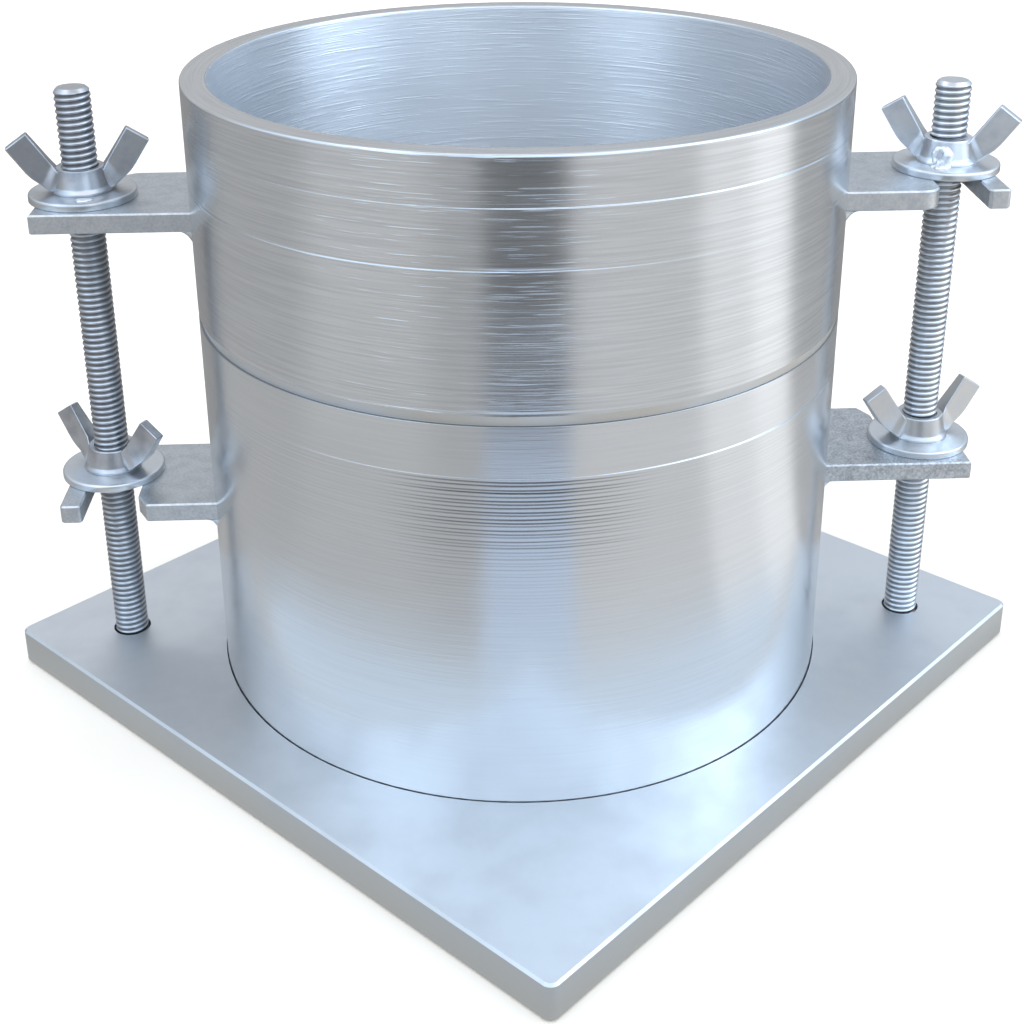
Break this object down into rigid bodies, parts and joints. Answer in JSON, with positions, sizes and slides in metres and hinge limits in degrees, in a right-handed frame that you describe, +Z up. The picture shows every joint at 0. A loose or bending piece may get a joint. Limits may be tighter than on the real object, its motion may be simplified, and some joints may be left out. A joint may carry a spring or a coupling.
{
  "type": "soil compaction mould",
  "caption": "Six-inch soil compaction mould: steel tube in a square base plate with an extension collar, slotted lugs and threaded tie rods with washers and wing nuts.",
  "frame": {"origin": "centre of the base plate's underside, on the mould's axis", "axes": "+Z up along the mould's axis, X along the line of the two tie rods, Y from front to back"},
  "size_m": [0.2808, 0.2808, 0.1693],
  "materials": {
    "turned_steel": "bright zinc plate over a turned surface",
    "plate_steel": "bright zinc plate over ground plate",
    "lug_steel": "zinc plate over flat bar",
    "weld_steel": "zinc plate over a fillet weld",
    "threaded_steel": "bright zinc plate over a rolled thread",
    "washer_steel": "bright zinc plate over a stamped washer",
    "nut_steel": "bright zinc plate over a pressed wing nut"
  },
  "bodies": {
    "base": {"base_plate": "plate_steel", "left_tie_rod": "threaded_steel", "right_tie_rod": "threaded_steel"},
    "mould": {"mould_cylinder": "turned_steel", "mould_left_lug": "lug_steel", "mould_left_lug_weld": "weld_steel", "mould_right_lug": "lug_steel", "mould_right_lug_weld": "weld_steel"},
    "collar": {"collar_cylinder": "turned_steel", "collar_left_lug": "lug_steel", "collar_left_lug_weld": "weld_steel", "collar_right_lug": "lug_steel", "collar_right_lug_weld": "weld_steel"},
    "washer_upper_left": {"upper_left_washer": "washer_steel"},
    "nut_upper_left": {"upper_left_wing_nut": "nut_steel"},
    "washer_lower_left": {"lower_left_washer": "washer_steel"},
    "nut_lower_left": {"lower_left_wing_nut": "nut_steel"},
    "washer_upper_right": {"upper_right_washer": "washer_steel"},
    "nut_upper_right": {"upper_right_wing_nut": "nut_steel"},
    "washer_lower_right": {"lower_right_washer": "washer_steel"},
    "nut_lower_right": {"lower_right_wing_nut": "nut_steel"}
  },
  "joints": [
    {"name": "mould_turn", "type": "hinge", "parent": "base", "child": "mould", "pos_m": [0, 0, 0], "axis": [0, 0, 1], "range_deg": [-150, 0]},
    {"name": "collar_turn", "type": "hinge", "parent": "base", "child": "collar", "pos_m": [0, 0, 0], "axis": [0, 0, 1], "range_deg": [0, 150]},
    {"name": "washer_upper_left_travel", "type": "slide", "parent": "base", "child": "washer_upper_left", "axis": [0, 0, 1], "range_m": [0, 0.01593]},
    {"name": "nut_upper_left_turn", "type": "hinge", "parent": "washer_upper_left", "child": "nut_upper_left", "pos_m": [-0.11, 0, 0], "axis": [0, 0, 1], "range_deg": [0, 3600]},
    {"name": "washer_lower_left_travel", "type": "slide", "parent": "base", "child": "washer_lower_left", "axis": [0, 0, 1], "range_m": [0, 0.04768]},
    {"name": "nut_lower_left_turn", "type": "hinge", "parent": "washer_lower_left", "child": "nut_lower_left", "pos_m": [-0.11, 0, 0], "axis": [0, 0, 1], "range_deg": [0, 10800]},
    {"name": "washer_upper_right_travel", "type": "slide", "parent": "base", "child": "washer_upper_right", "axis": [0, 0, 1], "range_m": [0, 0.01593]},
    {"name": "nut_upper_right_turn", "type": "hinge", "parent": "washer_upper_right", "child": "nut_upper_right", "pos_m": [0.11, 0, 0], "axis": [0, 0, 1], "range_deg": [0, 3600]},
    {"name": "washer_lower_right_travel", "type": "slide", "parent": "base", "child": "washer_lower_right", "axis": [0, 0, 1], "range_m": [0, 0.04768]},
    {"name": "nut_lower_right_turn", "type": "hinge", "parent": "washer_lower_right", "child": "nut_lower_right", "pos_m": [0.11, 0, 0], "axis": [0, 0, 1], "range_deg": [0, 10800]}
  ],
  "couplings": [
    {"joint": "washer_upper_left_travel", "follows": "nut_upper_left_turn", "m_per_rad": 0.00025266},
    {"joint": "washer_lower_left_travel", "follows": "nut_lower_left_turn", "m_per_rad": 0.00025266},
    {"joint": "washer_upper_right_travel", "follows": "nut_upper_right_turn", "m_per_rad": 0.00025266},
    {"joint": "washer_lower_right_travel", "follows": "nut_lower_right_turn", "m_per_rad": 0.00025266}
  ]
}
